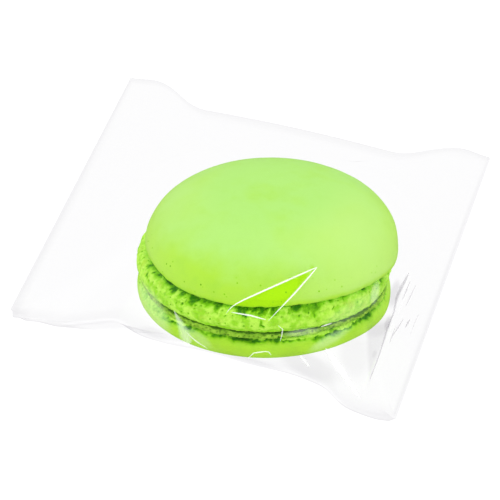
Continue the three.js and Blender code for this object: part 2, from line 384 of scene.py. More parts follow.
# %% Profile of the upper shell
UPPER_LOW = 8.55
FOOT = {"radius": 23.6, "tuck": 0.7, "low": 9.0, "high": 12.2}
CREVICE = {"radius": 21.7, "low": 12.5, "high": 12.65}
SKIRT = {"overhang": 0.75, "thick": 0.5}
RIM_HEIGHT = 13.4
UPPER_DOME = {"radius": 23.15, "height": 11.8, "fullness": 2.3}
DOME_SHIFT = 1.4
EDGE_ROUND = 0.3
FACE_START = 4.0  # radius of the first ring round the pole of a hidden flat face
SHELL_ROWS = 116
FINE_SIDE = 8.0  # extra fineness of the rows up the frothy side
FINE_SKIRT = 2.0  # and on the dome's edge


def dome_profile(dome, rim_height, upwards, rows=200):
    """(Radius, height) along a dome, from its rim to just short of its pole. Both follow an
    ellipse whose sine and cosine are raised to 2 over the fullness."""
    angle = np.radians(89) * np.linspace(0, 1, rows) ** 1.4
    power = 2 / dome["fullness"]
    height = rim_height + upwards * dome["height"] * np.sin(angle) ** power
    return np.stack([dome["radius"] * np.cos(angle) ** power, height], axis=1)


def stretch(*corners):
    """Straight lines through (radius, height) points, in 60 steps each, without the last end."""
    share = np.arange(60)[:, None] / 60
    corners = np.array(corners)
    return np.concatenate([blend(start, end, share) for start, end in zip(corners, corners[1:])])


def upper_profile():
    """Radius and height in rows, from the hidden flat face up the foot, into the crevice, out
    under the hem and over the dome."""
    up = np.arange(200) / 200
    bulge = FOOT["radius"] - FOOT["tuck"] * (2 * up - 1) ** 2
    tucked = FOOT["radius"] - FOOT["tuck"]
    lip = UPPER_DOME["radius"] - EDGE_ROUND
    radius, height = np.concatenate([
        stretch((FACE_START, UPPER_LOW), (tucked - EDGE_ROUND, UPPER_LOW), (tucked, FOOT["low"])),
        np.stack([bulge, blend(FOOT["low"], FOOT["high"], up)], axis=1),
        stretch(
            (tucked, FOOT["high"]),
            (CREVICE["radius"], CREVICE["low"]),
            (lip - SKIRT["overhang"], CREVICE["high"]),
            (lip, RIM_HEIGHT - SKIRT["thick"]),
            (UPPER_DOME["radius"], RIM_HEIGHT),
        ),
        dome_profile(UPPER_DOME, RIM_HEIGHT, 1),
    ]).T
    side = ramp(20.5, 21.5, radius) * ramp(8.4, 8.6, height) * (1 - ramp(13.4, 14.0, height))
    skirt = ramp(13.3, 13.4, height) * (1 - ramp(18.0, 20.0, height))
    return place_rows(radius, height, 1 + FINE_SIDE * side + FINE_SKIRT * skirt, SHELL_ROWS)


profile = upper_profile()
print("upper shell profile:", len(profile[0]), "rows, top at", profile[1].max().round(2), "mm")

# %% Relief of the upper shell
WIDE = (2.3, 1.5)  # width and height of the widest bumps
SWELL = (0.12, 0.15)  # their depth at the foot's low edge and at its top
# Layers of froth: size of the grains, and depth at the foot's low edge and at its top.
FROTH = [(1.7, 0.1, 0.3), (0.85, 0.12, 0.24), (0.5, 0.08, 0.14)]
SQUAT = 1.5  # the foot is pulled up where the hem lifts, so its grains start out flatter
# Layers of bumps: depth, width, height and number.
RAGGED = [(0.55, 1.1, 0.9, 5), (0.45, 0.6, 0.6, 6)]
HEM_RIPPLE = [(0.08, 1.2, 5.0, 9), (0.04, 0.6, 5.0, 12)]
LOW_ROUGHNESS = [(0.07, 1.4, 9.0, 13), (0.09, 0.7, 9.0, 14)]
SMALL_PITS = (1.5, 0.42, 0.45, 7)  # spacing, radius, share of cells with a hole, and number
HEM_LIFT = 0.5
HEM_BELLS = [(-72, 34, 0.75), (-160, 18, 0.4), (-12, 20, -1.0)]  # angle, half width, lift
# Caves under the hem: angle and half width in degrees, how far down they reach in millimetres,
# and depth.
CAVES = [
    (-161, 3, 0.7, 0.6), (-152, 4.0, 0.35, 0.7), (-143.5, 2.0, 0.3, 0.7), (-137.7, 2.4, 0.6, 0.9),
    (-132, 1.8, 0.4, 0.7), (-125, 2.9, 1.0, 1.1), (-118, 2.5, 0.5, 0.6), (-112.4, 2.2, 0.9, 0.9),
    (-101.8, 3.2, 0.9, 1.0), (-95, 2.0, 0.5, 0.8), (-91.5, 3.2, 1.2, 1.0), (-86.8, 2.6, 1.0, 0.8),
    (-77.3, 3.2, 0.8, 1.1), (-73, 2.5, 1.2, 0.5), (-68.5, 2.8, 1.5, 0.7), (-60, 1.6, 0.3, 0.7),
    (-40.5, 1.8, 0.5, 1.0), (-24, 3.4, 1.3, 1.1), (-5, 3, 0.9, 0.7), (20, 4, 0.8, 0.6),
    (60, 3, 1.2, 0.8), (100, 3, 0.9, 0.7), (150, 4, 1.1, 0.8),
]
DOME_WAVE = 0.07
SIDE_SHEEN_BELLS = [(-38, 48, 0.75), (170, 50, 0.45)]  # angle, half width, and strength of the painted sheen on the dome's sides


def wander():
    """Slow wave between about -1 and 1 round the turn, the mean of three sines."""
    return (np.sin(2 * AROUND + 1) + np.sin(5 * AROUND + 4) + np.sin(9 * AROUND + 2)) / 3


def froth(way, up):
    """Layers of foamy grains, each less its mean, deeper towards the top of the foot: the sum of
    their heights, and how far each place lies in a crease."""
    total, crease = 0, 0
    for layer, (size, low_depth, high_depth) in enumerate(FROTH):
        grain = grains(way, size, layer + 1)
        total = total + blend(low_depth, high_depth, ramp(0.15, 0.9, up)) * 1.4 * (grain - GRAIN_MEAN)
        crease = np.maximum(crease, (1 - 0.2 * layer) * (1 - ramp(-0.1, 0.45, grain)))
    return total, crease


def caves_under(down, ragged):
    """Depth of the caves under the hem, at a distance down from the foot's top. Each is a bowl
    with a ragged rim: 1 less the squared distance from its middle in half widths and reaches."""
    deepest = 0 * ragged
    for middle, half_width, reach, depth in CAVES:
        squared = ((aside(middle) / half_width) ** 2 + (down / reach) ** 2) * (1 + 1.1 * ragged)
        deepest = np.maximum(deepest, depth * np.clip(1 - squared, 0, 1) ** 0.8)
    return deepest


print("caves:", len(CAVES))


# %% The upper shell
def upper_shell():
    """Radius and height as functions of angle and row: the profile, plus froth on the foot, less
    holes and caves, with a crevice of uneven depth and a hem that wanders up and down."""
    radius, height = upper_profile()
    way = SQUAT * way_along(radius, height)[:, None]
    radius, height = radius[:, None], height[:, None]
    # Where each part lies, from 0 to 1.
    on_side = ramp(18, 22, radius) * ramp(UPPER_LOW - 0.1, UPPER_LOW + 0.1, height)
    above_foot = ramp(CREVICE["low"] - 0.1, CREVICE["high"], height)
    foot = on_side * (1 - above_foot)
    up = np.clip((height - FOOT["low"]) / (FOOT["high"] - FOOT["low"]), 0, 1)
    upper_half = ramp(0.3, 0.85, up)
    in_crevice = ramp(FOOT["high"] - 0.1, CREVICE["low"], height) * (1 - above_foot)
    low_edge = ramp(20.5, 22.0, radius) * (1 - ramp(0.0, 0.35, up)) * foot
    dome = ramp(RIM_HEIGHT - 0.2, RIM_HEIGHT + 1, height)
    # How far each place moves in or out.
    fine, crease = froth(way, up)
    relief = blend(*SWELL, np.sqrt(up)) * bumps(way, *WIDE) + fine
    ragged = layered(way, RAGGED)
    cave = caves_under(np.clip(FOOT["high"] - height, 0, None), ragged)
    holes = ramp(0.36, 0.66, ragged - 0.3 * (1 - upper_half)) * upper_half
    small = pits(way, *SMALL_PITS) * ramp(0.05, 0.15, up)
    slow = bumps(0, 3.1, 9.0, 8)
    depth = 0.3 + 0.35 * slow + 0.6 * cave
    shoulder = ramp(FOOT["high"] - 0.7, FOOT["high"] + 0.1, height) ** 2
    carve = 0.4 * holes + 0.25 * small + 0.9 * cave + 0.25 * shoulder + 0.5 * in_crevice * depth
    inset = 0.4 * bell(-5, 30) + 0.35 * bell(-178, 22) * up
    calm = (1 - 0.5 * in_crevice) * (1 - 0.5 * bell(-172, 24))
    swell = DOME_WAVE * dome * bumps(height, 11.0, 3.5, 11) * ramp(2, 14, radius)
    new_radius = radius + foot * (relief * calm - carve - inset) + swell
    # How far it moves up or down.
    hem = ramp(CREVICE["low"], CREVICE["high"], height) * (1 - ramp(14.0, 17.5, height))
    lift = HEM_LIFT + 0.12 * wander() + sum_of_bells(HEM_BELLS)
    new_height = height + hem * (lift + layered(0, HEM_RIPPLE)) + ramp(0.3, 1.0, up) * foot * lift
    new_height = new_height + 0.15 * foot * upper_half * bumps(way, 1.3, 1.0, 10)
    new_height = new_height + low_edge * layered(0, LOW_ROUGHNESS)
    new_height = new_height - slump(height) - 0.25 * low_edge * bell(-8, 18)
    shift = DOME_SHIFT * (up**3 * (1 - above_foot) / 3 + above_foot)
    top = RIM_HEIGHT + UPPER_DOME["height"]
    piece, rings = macaron_piece("upper_shell", new_radius, new_height, UPPER_LOW, top, shift)
    # Painted shade in the holes, caves, creases and crevice, under the hem, along the foot's low edge
    # and in the dome's pores; painted sheen where the dome is paler at its top and on two sides; and
    # where the crust is wet.
    deep = np.maximum(0.6 * holes, 1.25 * cave) + 0.9 * small
    # Painted shade under the hem's overhang, along the top of the foot.
    shade = ramp(FOOT["high"] - 0.24, FOOT["high"] + 0.02, height + 0.22 * ragged)
    shade = shade * (0.3 + 0.4 * slow + 0.6 * cave)
    line = np.maximum(ramp(0.35, 0.8, in_crevice) * (0.55 + 0.6 * depth), shade)
    # Painted shade in the creases between grains, in holes and caves, and in the crevice.
    pit_shade = np.maximum.reduce([crease * blend(0.22, 0.42, upper_half), deep, line]) * foot
    # Painted shade: a dark line along the foot's low edge, in the gap above the filling.
    low_line = 0.4 * (1 - ramp(0.0, 0.05, up)) * on_side * (1 - above_foot)
    mark(piece, "pit_shade", np.clip(np.maximum(pit_shade, low_line), 0, 1))
    # Painted shade: dark pores on the lower dome, more of them round one side.
    mark(piece, "pore", dome * (1 - ramp(16.0, 20.0, height)) * (0.25 + 0.75 * bell(-115, 55)))
    mark(piece, "foot", foot)
    # Painted sheen: the dome is paler towards its top.
    mark(piece, "top", ramp(15.8, 23.8, height) * dome, high_value=1.0)
    # Painted sheen: the dome is paler on two of its sides.
    side_sheen = sum_of_bells(SIDE_SHEEN_BELLS)
    mark(piece, "side_sheen", side_sheen * ramp(13.0, 14.2, height) * ramp(8, 17, radius) * dome)
    wet = ramp(-0.01, 0.02, inside(rings, WET_TRIANGLE))
    mark(piece, "wet", wet * ramp(CREVICE["high"], RIM_HEIGHT, height))
    return piece


upper_piece = upper_shell()

# %% [markdown]
# ## The filling
#
# The filling is a thin disc that runs right through. Only its edge shows, squeezed out a little
# unevenly and dull, with a line of painted shade above and below it where the shells don't quite
# meet it.

# %% The filling
FILLING = {"low": 7.15, "high": 8.25, "radius": 22.6}
CREAM_SWELL = 0.2
CREAM_GRAINS = [(0.24, 0.8, 21), (0.14, 0.42, 22)]  # depth, size, number
CREAM_RAGGED = [(0.55, 1.0, 0.5, 23), (0.45, 0.5, 0.3, 24)]
CREAM_PITS = (0.9, 0.3, 0.6, 25)


def filling():
    """Radius as a function of angle and row: a disc whose edge is an upright with rounded
    corners, roughened by two layers of bumps and a few holes."""
    rows = np.linspace(0, 1, 26)
    corner = EDGE_ROUND * (1 - np.sqrt(np.clip(1 - (2 * rows - 1) ** 6, 0, 1)))
    face = np.linspace(FACE_START, FILLING["radius"] - 2 * EDGE_ROUND, 5)
    radius = np.concatenate([face, FILLING["radius"] - corner, face[::-1]])[:, None]
    share = np.concatenate([0 * face, rows, 0 * face + 1])[:, None]
    height = blend(FILLING["low"], FILLING["high"], share)
    on_edge = ramp(FILLING["radius"] - 2, FILLING["radius"] - 0.4, radius)
    relief = CREAM_SWELL * bumps(height, *WIDE) + foam(height, CREAM_GRAINS)
    ragged = layered(height, CREAM_RAGGED)
    holes = np.maximum(ramp(0.4, 0.65, ragged), pits(height, *CREAM_PITS))
    new_radius = radius + on_edge * (relief - 0.35 * holes)
    sagged = height - slump(height)
    piece, _ = macaron_piece("cream_filling", new_radius, sagged, FILLING["low"], FILLING["high"])
    # Painted shade: a dark line along the top of the edge and, in one place, along its bottom, where the
    # shells don't quite meet it, and in its holes and dents.
    over = height - (FILLING["low"] + FILLING["high"]) / 2
    rim = 0.9 * ramp(0.38, 0.55, over + 0.3 * ragged + 0.4 * bell(-41, 13))
    rim = rim * (1 - 0.8 * bell(-8, 16))
    low_rim = ramp(0.3, 0.5, 0.2 * ragged - over) * bell(-94, 14)
    pit_shade = on_edge * (0.8 * holes + 1.5 * np.maximum(-relief, 0)) + np.maximum(rim, low_rim)
    mark(piece, "pit_shade", np.clip(pit_shade, 0, 1))
    return piece


filling_piece = filling()

# %% [markdown]
# ## The lower shell
#
# The lower shell is the same baked half upside down, shallower here, with most of its foot
# pressed into a low rough edge under the filling.

# %% The lower shell's profile and groove
LOWER_DOME = {"radius": 23.5, "height": 5.7, "fullness": 2.7}
LOWER_FOOT = {"radius": 22.9, "height": 6.55}
LOWER_TOP = 7.1
LOWER_ROWS = 84
GROOVE_TALL = 0.25
# Height of the groove round the turn: angle in degrees and height.
GROOVE_LINE = [
    (-180, 6.6), (-161, 6.3), (-150, 6.0), (-140, 6.2), (-132, 6.5), (-122, 6.85), (-91, 6.9),
    (-84, 6.8), (-74, 6.4), (-66, 6.45), (-57, 6.25), (-50, 6.3), (-42, 6.7), (-34, 6.75),
    (-20, 6.8), (30, 6.9), (100, 6.6), (180, 6.6),
]
# Caves in the groove: angle, half width and depth.
GROOVE_CAVES = [
    (-125, 3, 0.9), (-113, 4, 0.6), (-104, 3, 0.7), (-97, 5, 1.1), (-86, 4, 0.8), (-66, 4, 0.8),
    (-56, 3, 0.6), (-43, 3, 0.4), (-34.5, 4, 1.0), (40, 8, 0.5), (120, 12, 0.5),
]
# Layers of bumps along the groove's line, and of its ragged depth: depth, width, height, number.
GROOVE_WANDER = [(0.1, 1.7, 9.0, 31), (0.12, 0.7, 9.0, 32)]
GROOVE_RAGGED = [(0.3, 0.9, 0.6, 33), (0.25, 0.45, 0.4, 38)]
LOWER_SWELL = 0.2
LOWER_GRAINS = [(0.22, 1.1, 34), (0.12, 0.5, 35)]  # depth, size, number


def lower_profile():
    """Radius and height in rows: the dome upside down, then the rough edge that curls in under
    the filling, then the hidden flat face."""
    dome = dome_profile(LOWER_DOME, LOWER_DOME["height"], -1)[::-1]
    edge = stretch(
        (LOWER_DOME["radius"], LOWER_DOME["height"]),
        (LOWER_FOOT["radius"], LOWER_FOOT["height"]),
        (FILLING["radius"] - EDGE_ROUND, LOWER_TOP),
        (FACE_START, LOWER_TOP),
    )
    radius, height = np.concatenate([dome, edge]).T
    side = ramp(21.6, 22.2, radius) * ramp(3.6, 4.8, height)
    return place_rows(radius, height, 1 + FINE_SIDE * side, LOWER_ROWS)


print("groove caves:", len(GROOVE_CAVES))


# %% The lower shell
def lower_shell():
    """Radius as a function of angle and row: the profile, with a ragged groove round it where
    its foot meets its dome, froth above the groove and a smooth dome below."""
    radius, height = (line[:, None] for line in lower_profile())
    over = height - np.interp(aside(0), *zip(*GROOVE_LINE)) - layered(0, GROOVE_WANDER)
    caves = sum_of_bells(GROOVE_CAVES)
    ragged = 0.75 + layered(height, GROOVE_RAGGED)
    tall = GROOVE_TALL * (0.8 + 1.0 * caves)
    gaps = ramp(-0.2, 0.6, bumps(0, 4.1, 9.0, 39))
    dashes = 1 - 0.85 * bell(-165, 28) - 0.3 * gaps
    groove = np.exp(-(((over + 0.4 * caves * tall) / tall) ** 2)) * ragged * dashes
    on_side = ramp(20, 22, radius)
    rough = ramp(-0.5, 0.1, over) * on_side
    relief = LOWER_SWELL * bumps(height, *WIDE) + foam(height, LOWER_GRAINS)
    holes = ramp(0.35, 0.8, bumps(height, 1.2, 0.8, 36)) * ramp(-0.9, -0.1, over)
    swell = DOME_WAVE * bumps(height, 9.0, 3.0, 37) * ramp(4, 16, radius)
    carve = on_side * (groove * (0.35 + 0.7 * caves) + 0.3 * holes * (1 - rough))
    new_radius = radius + rough * relief + (1 - rough) * swell - carve
    piece, _ = macaron_piece("lower_shell", new_radius, height - slump(height), 0, LOWER_TOP)
    # Painted shade in the groove and its caves, in the holes below it and in the dents of the froth.
    pit_shade = on_side * (groove * (0.75 + 0.8 * caves) + 0.5 * holes) + 0.5 * rough * ramp(0, 0.2, -relief)
    mark(piece, "pit_shade", np.clip(pit_shade, 0, 1))
    mark(piece, "foot", rough)
    return piece


lower_piece = lower_shell()

# %% [markdown]
# ## The bag
#
# The bag is one tube of film pressed flat, with its two ends sealed straight across. The macaron
# uses up film, so the folds pull in, the corners stick out as ears, and the film runs taut from
# the dome to the edges. Cloth simulation would wrinkle it at random. Here the form is known, so
# each point is worked out: strips run from the outline, over the tent, to the top of the dome.

# %% The bag's outline
CORNERS = {
    "near_left": np.array([-34.6, -37.7, 8.2]),
    "near_right": np.array([37.6, -39.7, 1.0]),
    "far_right": np.array([38.4, 40.9, 4.2]),
    "far_left": np.array([-38.4, 41.5, 9.7]),
}
NEAR_FOLD = {"bulge": 2.0, "fade": 0.48, "lift": 4.8, "ear": 2.5}
FAR_FOLD = {"bulge": -7.4, "fade": 0.25, "lift": 1.8, "ear": 1.0}
# Waves in the near fold: share of the way along, half width and how far outwards.
NEAR_WAVES = [(0.016, 0.012, 1.2), (0.045, 0.03, 1.4), (0.15, 0.03, 0.8), (0.2, 0.04, 0.8)]
NEAR_WAVES += [(0.28, 0.05, -1.7), (0.39, 0.07, 0.6), (0.55, 0.08, -0.5), (0.74, 0.08, -0.95)]
NEAR_WAVES += [(0.83, 0.03, -0.8), (0.965, 0.044, 1.3)]
EAR_SHARE = 0.22
FADE_START = 0.05
WAVE_START = 0.015
STEPS = {"near_fold": 330, "right_seal": 190, "far_fold": 70, "left_seal": 60}


def fold_line(start, end, fold, outwards, share, waves=()):
    """Points along a fold: a straight line, moved outwards by the bulge away from its ends, by a
    sine-squared ear beside each end and by bell-shaped waves, and lifted by half a sine."""
    middle = ramp(FADE_START, fold["fade"], share) * ramp(FADE_START, fold["fade"], 1 - share)
    from_end = np.minimum(share, 1 - share)
    ear = np.sin(np.pi * np.minimum(from_end, EAR_SHARE) / EAR_SHARE) ** 2
    points = blend(start, end, share[:, None])
    wave = sum(rise * np.exp(-(((share - place) / width) ** 2)) for place, width, rise in waves)
    wave = wave * ramp(0.0, WAVE_START, from_end)
    points[:, 1] += outwards * (fold["bulge"] * middle + fold["ear"] * ear + wave)
    points[:, 2] += fold["lift"] * np.sin(np.pi * share)
    return points


def steps(name):
    """Shares of the way along one side of the outline, without its end."""
    return np.arange(STEPS[name]) / STEPS[name]


def bag_outline():
    """The outline, anticlockwise from the near left corner: fold, seal, fold, seal."""
    c = CORNERS
    return np.concatenate([
        fold_line(c["near_left"], c["near_right"], NEAR_FOLD, -1, steps("near_fold"), NEAR_WAVES),
        blend(c["near_right"], c["far_right"], steps("right_seal")[:, None]),
        fold_line(c["far_right"], c["far_left"], FAR_FOLD, 1, steps("far_fold")),
        blend(c["far_left"], c["near_left"], steps("left_seal")[:, None]),
    ])


outline = bag_outline()
print("outline:", len(outline), "points")

# %% Film over the dome and down to the edge
EDGE_THICK = 0.5
STANDOFF = {"radius": 1.75, "height": 0.6}
TENT_SAG = 0.03
TENT_SHIFT = DOME_SHIFT / 2
TENT_ROWS = 62
COVER_ROWS = 44
MEAN_REACH = 3


def on_cover(heading, turn):
    """Film over the dome, in the macaron's frame: the dome's own ellipse, grown by the standoff.
    Turn is 0 at the rim and a right angle at the top."""
    power = 2 / UPPER_DOME["fullness"]
    radius = (UPPER_DOME["radius"] + STANDOFF["radius"]) * np.cos(turn) ** power
    rise = (UPPER_DOME["height"] + STANDOFF["height"]) * np.sin(turn) ** power
    return xyz(TENT_SHIFT + radius * np.cos(heading), radius * np.sin(heading), RIM_HEIGHT + rise)


def leaving_turn(edge, heading):
    """Turn at which taut film from an edge point leaves the dome: where the dome stands highest
    from there. A running mean evens it out along the outline."""
    turn = np.radians(np.arange(0, 89, 0.1))
    cover = on_cover(heading[:, None], turn[None, :])
    away = np.hypot(edge[:, None, 0] - cover[..., 0], edge[:, None, 1] - cover[..., 1])
    slope = (cover[..., 2] - edge[:, None, 2]) / away
    best = turn[np.argmax(slope, axis=1)]
    return np.mean([np.roll(best, k) for k in range(-MEAN_REACH, MEAN_REACH + 1)], axis=0)


def upper_strips(outline):
    """Rings of film from the outline in to the top of the dome, and how far in each point is.
    Each strip is straight, less a sine-squared sag, until it meets the dome and follows it."""
    edge = outline + np.array([0, 0, EDGE_THICK / 2])
    local = back_to_macaron(edge)
    heading = np.arctan2(local[:, 1], local[:, 0] - TENT_SHIFT)
    leaving = leaving_turn(local, heading)
    shoulder = put_in_place(on_cover(heading, leaving))
    length = np.linalg.norm(shoulder - edge, axis=1)
    rows = np.linspace(0, 1, TENT_ROWS, endpoint=False)[:, None]
    share = blend(rows**1.15, rows, 0.3)
    tent = blend(edge[None], shoulder[None], share[..., None])
    tent[..., 2] -= TENT_SAG * length * np.sin(np.pi * share) ** 2
    rows = np.linspace(0, 1, COVER_ROWS, endpoint=False)[:, None] ** 1.3
    cover = put_in_place(on_cover(heading[None], blend(leaving[None], np.pi / 2, rows)))
    return np.concatenate([tent, cover]), np.concatenate([share * length, 0 * rows + length])


upper_film, from_edge = upper_strips(outline)
film_top = put_in_place(on_cover(np.array(0.0), np.array(np.pi / 2)))
print("upper film:", upper_film.shape, "top at", film_top.round(2))

# %% [markdown]
# ### Facets and folds
#
# Film can't curve two ways at once. Where it is pushed together it breaks into flat facets that
# meet in sharp folds. A facet is film slid along the line of sight onto a plane. A fold is a narrow
# strip that lies on the film and bulges a little, with a painted highlight along a bright fold and
# painted shade along a dark one. As a ridge in the film's own grid it would need a grid ten times
# finer.

# %% Facets
FACETS = {
    "window": [(-4.0, -11.2), (12.5, -3.2), (3.4, -13.2)],
    "corner": [(14.1, -18.3), (25.0, -16.7), (20.5, -27.6)],
}


def flatten(film, triangle):
    """Slides the film inside a triangle of the view, along the line of sight, onto the plane
    through the film's points at the three corners."""
    right, above = seen(film)
    nearest = [np.argmin((right - u) ** 2 + (above - v) ** 2) for u, v in triangle]
    a, b, c = film.reshape(-1, 3)[nearest]
    normal = np.cross(b - a, c - a)
    ray = film - EYE
    reach = ((a - EYE) @ normal) / (ray @ normal)
    share = ramp(-0.02, 0.04, inside(film, triangle))
    return blend(film, EYE + ray * reach[..., None], share[..., None])


for triangle in FACETS.values():
    upper_film = flatten(upper_film, triangle)
print("facets:", list(FACETS))

# %% Ridges
# Broad low ridges and valleys of the film: a bent line in the view, a half width and a height.
RIDGES = [
    ([(29.4, -4.7), (26.5, -13.4), (24.0, -19.9), (22.3, -24.6)], 0.7, -0.35),
    ([(30.0, -5.4), (27.2, -11.4), (24.4, -18.3)], 0.6, 0.3),
    ([(14.1, -18.3), (17.1, -22.6), (20.5, -27.6)], 0.7, 0.35),
    ([(9.3, -19.6), (11.2, -21.9)], 0.6, 0.25),
    ([(30.0, -12.4), (26.8, -16.0)], 0.35, -0.15),
    ([(31.7, -11.9), (29.9, -15.7)], 0.35, -0.15),
]
TAPER = 0.2  # share of a ridge's length over which each end fades


def ridged(film):
    """The film raised towards the camera by a bell curve across each ridge, which fades out at
    both ends."""
    rise = np.zeros(film.shape[:2])
    for line, half_width, high in RIDGES:
        distance, along = near_line(film, line)
        ends = ramp(0, TAPER, along) * ramp(0, TAPER, 1 - along)
        rise = rise + high * np.exp(-((distance / half_width) ** 2)) * ends
    return film + rise[..., None] * AWAY


upper_film = ridged(upper_film)
print("ridges:", len(RIDGES))

# %% Folds
# Each fold: its line in the view, its widths along the line, and how white its painted highlight
# is, or how grey its painted shade where that is below zero.
FOLDS = {
    "window_top": (
        [(-4.5, -11.9), (-4, -11.2), (-3.4, -10.6), (-2.5, -10), (-1.2, -9.3), (2.8, -7.5), (12.5, -3.2)],
        (0.15, 0.35, 0.42, 0.42, 0.35),
        0.95,
    ),
    "window_right": (
        [(12.5, -3.2), (11.2, -4.8), (8.2, -8.2), (5.5, -11), (3.4, -13.2)], (0.3, 0.4, 0.1), 0.95
    ),
    "window_low": ([(-3.5, -11.6), (0.1, -12.2), (3.0, -13.0)], (0.2, 0.42, 0.2), 0.85),
    "hook": ([(5.2, -14.0), (6.1, -14.8), (5.9, -16.0), (5.6, -17.0)], (0.1, 0.3, 0.1), 0.6),
    "dash": ([(13.2, -14.3), (15.3, -13.6)], (0.1, 0.3, 0.1), 0.8),
    "arc": ([(-0.4, -20.2), (0.7, -19.2), (2.8, -18.9), (3.5, -19), (4, -19.7)], (0.15, 0.3, 0.15), 0.75),
    "curve": ([(-11.9, -15.3), (-11.1, -16.1), (-9.9, -17.1), (-7.9, -18.4)], (0.1, 0.28, 0.1), 0.6),
    "left_patch": ([(-14.2, -11.2), (-12.9, -13.9), (-11.4, -17.6)], (0.2, 1.3, 2.4, 2.6), 0.3),
    "long_dark": (
        [(29.6, -4.3), (28.4, -6.6), (27.3, -9), (26.8, -11.6), (25.6, -14.6), (24.2, -19.2), (22.3, -24.3)],
        (0.6, 0.9, 0.55, 0.3, 0.5, 0.3, 0.25, 0.2),
        -0.36,
    ),
    "dark_beside": ([(29.9, -5.7), (28.4, -9.3)], (0.1, 0.35, 0.1), -0.35),
    "bright_top": ([(29.7, -4.7), (28.6, -7.9)], (0.1, 0.3, 0.1), 0.5),
    "bright_middle": ([(28.9, -8.6), (27.4, -12.0)], (0.1, 0.22, 0.1), 0.3),
    "bright_low": ([(26.5, -13.6), (25.7, -16.6)], (0.1, 0.28, 0.1), 0.4),
    "short_a": ([(30.9, -6.5), (29.0, -10.5)], (0.1, 0.3, 0.1), -0.28),
    "short_b": ([(28.6, -12.7), (27.9, -14.0), (26.4, -16.2)], (0.1, 0.35, 0.2), -0.32),
    "short_c": ([(29.8, -12.9), (28.9, -14.5)], (0.15, 0.45, 0.15), -0.4),
    "short_d": ([(31.5, -11.8), (30.7, -13.5), (29.8, -15.9)], (0.1, 0.22, 0.1), -0.2),
    "short_e": ([(27.1, -14.2), (26.0, -17.4)], (0.1, 0.3, 0.1), -0.28),
    "corner_ridge": ([(14.1, -18.3), (17.1, -22.6), (20.5, -27.6)], (0.8, 1.6, 1.0, 0.4), 0.5),
    "near_ridge": ([(9.3, -19.6), (11.2, -21.9)], (0.4, 0.9, 0.3), 0.4),
}
FOLD_STEPS = 50
FOLD_SIDES = 9
FOLD_BULGE = 0.06
FOLD_UNDER = 0.02


def on_film(film, right, above):
    """Points of the film at places in the view, as far off as the film's four nearest points are
    on the mean, weighted by nearness."""
    film_right, film_above = (part.ravel() for part in seen(film))
    far = np.linalg.norm(film.reshape(-1, 3) - EYE, axis=1)
    u, v = right.reshape(-1, 1), above.reshape(-1, 1)
    apart = (film_right[None] - u) ** 2 + (film_above[None] - v) ** 2
    nearest = np.argpartition(apart, 4, axis=1)[:, :4]
    weight = 1 / (np.take_along_axis(apart, nearest, axis=1) + 0.01)
    distance = (weight * far[nearest]).sum(axis=1) / weight.sum(axis=1)
    ray = np.array(AIM) / MM + u * RIGHT + v * ABOVE - EYE
    ray = ray / np.linalg.norm(ray, axis=1)[:, None]
    return (EYE + ray * distance[:, None]).reshape(right.shape + (3,))


def fold_strip(film, line, widths):
    """Closed strip along a bent line of the view: a row of points across the film, bulging like
    a parabola, and the same row just under it. Also how near its middle each point is."""
    corners = np.array(line, float)
    lengths = np.concatenate([[0], np.cumsum(np.linalg.norm(np.diff(corners, axis=0), axis=1))])
    share = np.linspace(0, 1, FOLD_STEPS)
    right, above = (np.interp(share * lengths[-1], lengths, column) for column in corners.T)
    slope = np.stack([np.gradient(right), np.gradient(above)])
    slope = slope / np.linalg.norm(slope, axis=0)
    half = np.interp(share, np.linspace(0, 1, len(widths)), widths) / 2
    half = half * np.sqrt(np.clip(1 - (2 * share - 1) ** 8, 0.02, 1))
    across = np.linspace(1, -1, FOLD_SIDES)
    place = half[:, None] * across
    u = right[:, None] - slope[1][:, None] * place
    v = above[:, None] + slope[0][:, None] * place
    skin = on_film(film, u, v)
    over = skin + (FOLD_UNDER + FOLD_BULGE * (1 - across**2))[None, :, None] * AWAY
    under = skin[:, ::-1] - FOLD_UNDER * AWAY
    rings = np.concatenate([over, under], axis=1)
    middle = np.concatenate([(1 - across**2) ** 1.3, 0 * across])
    ends = [(over[end] + under[end, ::-1]).mean(axis=0) / 2 for end in (0, -1)]
    return ring_faces(rings, *ends), np.pad(np.tile(middle, FOLD_STEPS), 1)


def film_folds(film):
    """All the folds as one piece, with how white its painted highlight and how grey its painted shade is at
    each point.
    """
    strips = [fold_strip(film, line, widths) for line, widths, shade in FOLDS.values()]
    piece = piece_from("film_folds", [strip for strip, middle in strips])
    for name, sign in [("white", 1), ("grey", -1)]:
        strengths = [max(sign * shade, 0) for line, widths, shade in FOLDS.values()]
        columns = [middle * strength for (strip, middle), strength in zip(strips, strengths)]
        store(piece, name, np.concatenate(columns))
    return piece


folds_piece = film_folds(upper_film)

# %% Painted reflections and painted shade on the film
# Each patch: its middle in the view, its two radii, its turn in degrees, and its strength.
# Painted reflections: white patches where the film mirrors light.
REFLECTION_PATCHES = {
    "left_end": ((-18.2, -10.8), (1.9, 6.0), 32, 0.13),
    "right_end": ((23.3, -8.0), (0.8, 2.2), -12, 0.17),
    "under_line": ((9.8, -15.3), (3.6, 0.7), 8, 0.13),
    "right_line": ((18.5, -11.5), (6.0, 1.6), 32, 0.06),
    "low_right": ((15.0, -16.6), (4.6, 1.0), 30, 0.13),
    "low_left": ((-9.6, -16.4), (3.2, 1.0), -35, 0.1),
}
